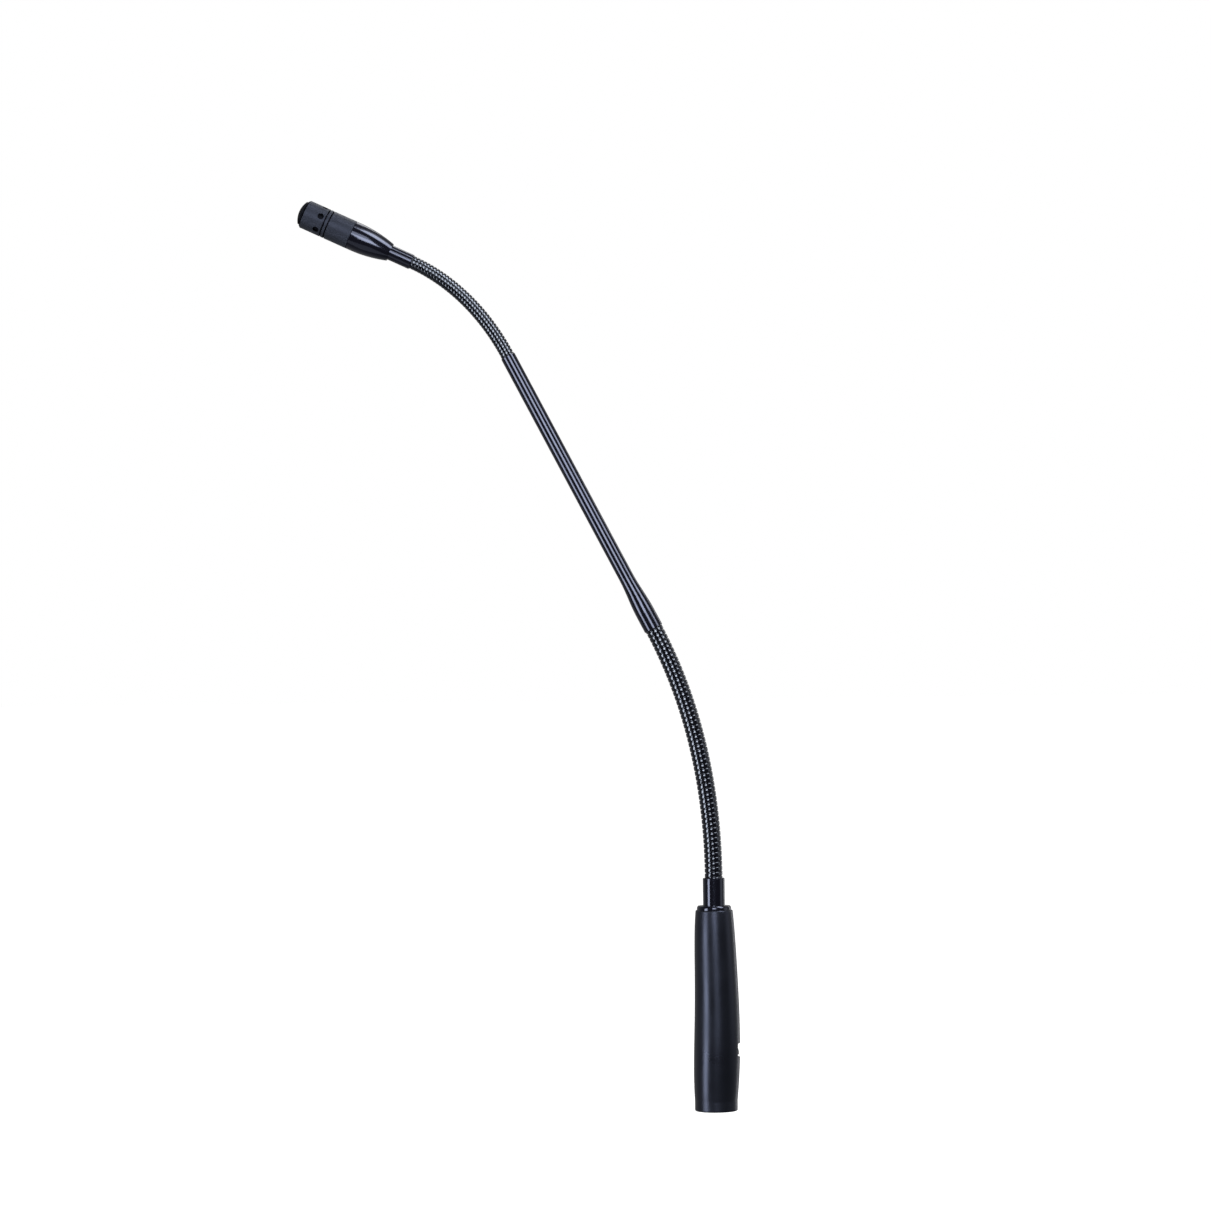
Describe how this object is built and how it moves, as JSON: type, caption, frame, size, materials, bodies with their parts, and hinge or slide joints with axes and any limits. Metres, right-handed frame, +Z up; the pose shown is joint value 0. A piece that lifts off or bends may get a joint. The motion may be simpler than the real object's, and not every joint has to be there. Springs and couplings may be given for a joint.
{
  "type": "gooseneck podium microphone",
  "caption": "Slim gooseneck microphone for a lectern: a plug handle with a low-cut switch, flexible necks either side of a rigid stem, and a small condenser head.",
  "frame": {"origin": "centre of the plug's mouth, at the bottom of the handle", "axes": "+Z up the handle's axis, from the plug towards the necks; -X is the side that both necks bend towards at rest; +X is the switch's side; Y is across"},
  "size_m": [0.1911, 0.0202, 0.4025],
  "materials": {
    "handle_paint": "satin black paint on a die-cast shell, fine texture",
    "gloss_black": "gloss black plating with a faint violet cast",
    "neck_wire": "black wound steel wire, semi-gloss",
    "head_matte": "matte black powder finish",
    "grille_black": "black woven steel gauze",
    "contact_gold": "gold-plated contacts",
    "insert_plastic": "black moulded nylon",
    "steel": "zinc-plated steel",
    "brass_parts": "turned brass",
    "board_green": "glass-fibre board with green solder mask",
    "component_body": "moulded component cases",
    "capsule_shell": "drawn aluminium can",
    "rubber_black": "soft black rubber",
    "foam_black": "open-cell black foam",
    "film": "metallised film",
    "switch_plastic": "black moulded plastic",
    "cable_jacket": "black flexible jacket"
  },
  "bodies": {
    "handle": {"handle_shell": "handle_paint", "xlr_insert": "insert_plastic", "contact_pin_1": "contact_gold", "contact_pin_2": "contact_gold", "contact_pin_3": "contact_gold", "insert_screw": "steel", "ground_spring": "steel", "preamp_board": "board_green", "electrolytic_capacitors": "component_body", "film_capacitors": "component_body", "output_transistors": "component_body", "resistors": "component_body", "cable_connector": "insert_plastic", "board_clips": "insert_plastic", "switch_body": "switch_plastic", "switch_cover": "switch_plastic", "lower_sleeve": "gloss_black", "collar_ring": "gloss_black", "lock_washer": "steel", "sleeve_nut": "steel", "lower_neck_link_1": "neck_wire", "signal_cable": "cable_jacket"},
    "switch": {"switch_slider": "switch_plastic"},
    "lower_link_2": {"lower_neck_link_2": "neck_wire"},
    "lower_link_3": {"lower_neck_link_3": "neck_wire"},
    "lower_link_4": {"lower_neck_link_4": "neck_wire"},
    "lower_link_5": {"lower_neck_link_5": "neck_wire"},
    "lower_link_6": {"lower_neck_link_6": "neck_wire"},
    "lower_link_7": {"lower_neck_link_7": "neck_wire"},
    "lower_link_8": {"lower_neck_link_8": "neck_wire"},
    "stem": {"stem_tube": "gloss_black", "stem_lower_bush": "brass_parts", "stem_upper_bush": "brass_parts", "lower_neck_link_9": "neck_wire", "upper_neck_link_1": "neck_wire"},
    "upper_link_2": {"upper_neck_link_2": "neck_wire"},
    "upper_link_3": {"upper_neck_link_3": "neck_wire"},
    "upper_link_4": {"upper_neck_link_4": "neck_wire"},
    "upper_link_5": {"upper_neck_link_5": "neck_wire"},
    "upper_link_6": {"upper_neck_link_6": "neck_wire"},
    "upper_link_7": {"upper_neck_link_7": "neck_wire"},
    "upper_link_8": {"upper_neck_link_8": "neck_wire"},
    "head": {"upper_neck_link_9": "neck_wire", "upper_sleeve": "gloss_black", "ferrule": "gloss_black", "capsule_housing": "head_matte", "front_cap": "head_matte", "front_grille": "grille_black", "grille_foam": "foam_black", "port_screen": "grille_black", "capsule_can": "capsule_shell", "capsule_seat": "rubber_black", "diaphragm_ring": "brass_parts", "diaphragm": "film", "insulator_ring": "insert_plastic", "backplate": "brass_parts", "capsule_board": "board_green", "rear_gasket": "rubber_black", "fet_board": "board_green", "fet_components": "component_body"}
  },
  "joints": [
    {"name": "lower_tilt", "type": "hinge", "parent": "handle", "child": "lower_link_2", "pos_m": [-0.00009, 0, 0.10911], "axis": [0, -1, 0], "range_deg": [-29.38, 15.62], "deforming": ["signal_cable"]},
    {"name": "lower_swing", "type": "hinge", "parent": "lower_link_2", "child": "lower_link_3", "pos_m": [-0.0008, 0, 0.12332], "axis": [0.9971, 0, 0.0757], "range_deg": [-22.5, 22.5]},
    {"name": "lower_tilt_2", "type": "hinge", "parent": "lower_link_3", "child": "lower_link_4", "pos_m": [-0.00225, 0, 0.13747], "axis": [0, -1, 0], "range_deg": [-29.38, 15.62]},
    {"name": "lower_swing_2", "type": "hinge", "parent": "lower_link_4", "child": "lower_link_5", "pos_m": [-0.00449, 0, 0.15151], "axis": [0.9826, 0, 0.1857], "range_deg": [-22.5, 22.5]},
    {"name": "lower_tilt_3", "type": "hinge", "parent": "lower_link_5", "child": "lower_link_6", "pos_m": [-0.00754, 0, 0.1654], "axis": [0, -1, 0], "range_deg": [-29.38, 15.62]},
    {"name": "lower_swing_3", "type": "hinge", "parent": "lower_link_6", "child": "lower_link_7", "pos_m": [-0.01144, 0, 0.17908], "axis": [0.9524, 0, 0.3048], "range_deg": [-22.5, 22.5]},
    {"name": "lower_tilt_4", "type": "hinge", "parent": "lower_link_7", "child": "lower_link_8", "pos_m": [-0.01622, 0, 0.19248], "axis": [0, -1, 0], "range_deg": [-29.38, 15.62]},
    {"name": "lower_swing_4", "type": "hinge", "parent": "lower_link_8", "child": "stem", "pos_m": [-0.02188, 0, 0.20552], "axis": [0.9027, 0, 0.4302], "range_deg": [-22.5, 22.5]},
    {"name": "upper_tilt", "type": "hinge", "parent": "stem", "child": "upper_link_2", "pos_m": [-0.08988, 0, 0.33628], "axis": [0, -1, 0], "range_deg": [-31.88, 13.12]},
    {"name": "upper_swing", "type": "hinge", "parent": "upper_link_2", "child": "upper_link_3", "pos_m": [-0.09382, 0, 0.34273], "axis": [0.8347, 0, 0.5507], "range_deg": [-22.5, 22.5]},
    {"name": "upper_tilt_2", "type": "hinge", "parent": "upper_link_3", "child": "upper_link_4", "pos_m": [-0.0982, 0, 0.34887], "axis": [0, -1, 0], "range_deg": [-31.88, 13.12]},
    {"name": "upper_swing_2", "type": "hinge", "parent": "upper_link_4", "child": "upper_link_5", "pos_m": [-0.10303, 0, 0.35467], "axis": [0.7421, 0, 0.6703], "range_deg": [-22.5, 22.5]},
    {"name": "upper_tilt_3", "type": "hinge", "parent": "upper_link_5", "child": "upper_link_6", "pos_m": [-0.10831, 0, 0.36006], "axis": [0, -1, 0], "range_deg": [-31.88, 13.12]},
    {"name": "upper_swing_3", "type": "hinge", "parent": "upper_link_6", "child": "upper_link_7", "pos_m": [-0.11403, 0, 0.36499], "axis": [0.6198, 0, 0.7848], "range_deg": [-22.5, 22.5]},
    {"name": "upper_tilt_4", "type": "hinge", "parent": "upper_link_7", "child": "upper_link_8", "pos_m": [-0.12015, 0, 0.3694], "axis": [0, -1, 0], "range_deg": [-31.88, 13.12]},
    {"name": "upper_swing_4", "type": "hinge", "parent": "upper_link_8", "child": "head", "pos_m": [-0.12666, 0, 0.37323], "axis": [0.4657, 0, 0.885], "range_deg": [-22.5, 22.5]},
    {"name": "low_cut_switch", "type": "slide", "parent": "handle", "child": "switch", "axis": [0, 1, 0], "range_m": [0, 0.002]}
  ],
  "couplings": [
    {"joint": "lower_tilt_2", "follows": "lower_tilt", "ratio": 1},
    {"joint": "lower_swing_2", "follows": "lower_swing", "ratio": 1},
    {"joint": "lower_tilt_3", "follows": "lower_tilt", "ratio": 1},
    {"joint": "lower_swing_3", "follows": "lower_swing", "ratio": 1},
    {"joint": "lower_tilt_4", "follows": "lower_tilt", "ratio": 1},
    {"joint": "lower_swing_4", "follows": "lower_swing", "ratio": 1},
    {"joint": "upper_tilt_2", "follows": "upper_tilt", "ratio": 1},
    {"joint": "upper_swing_2", "follows": "upper_swing", "ratio": 1},
    {"joint": "upper_tilt_3", "follows": "upper_tilt", "ratio": 1},
    {"joint": "upper_swing_3", "follows": "upper_swing", "ratio": 1},
    {"joint": "upper_tilt_4", "follows": "upper_tilt", "ratio": 1},
    {"joint": "upper_swing_4", "follows": "upper_swing", "ratio": 1}
  ]
}
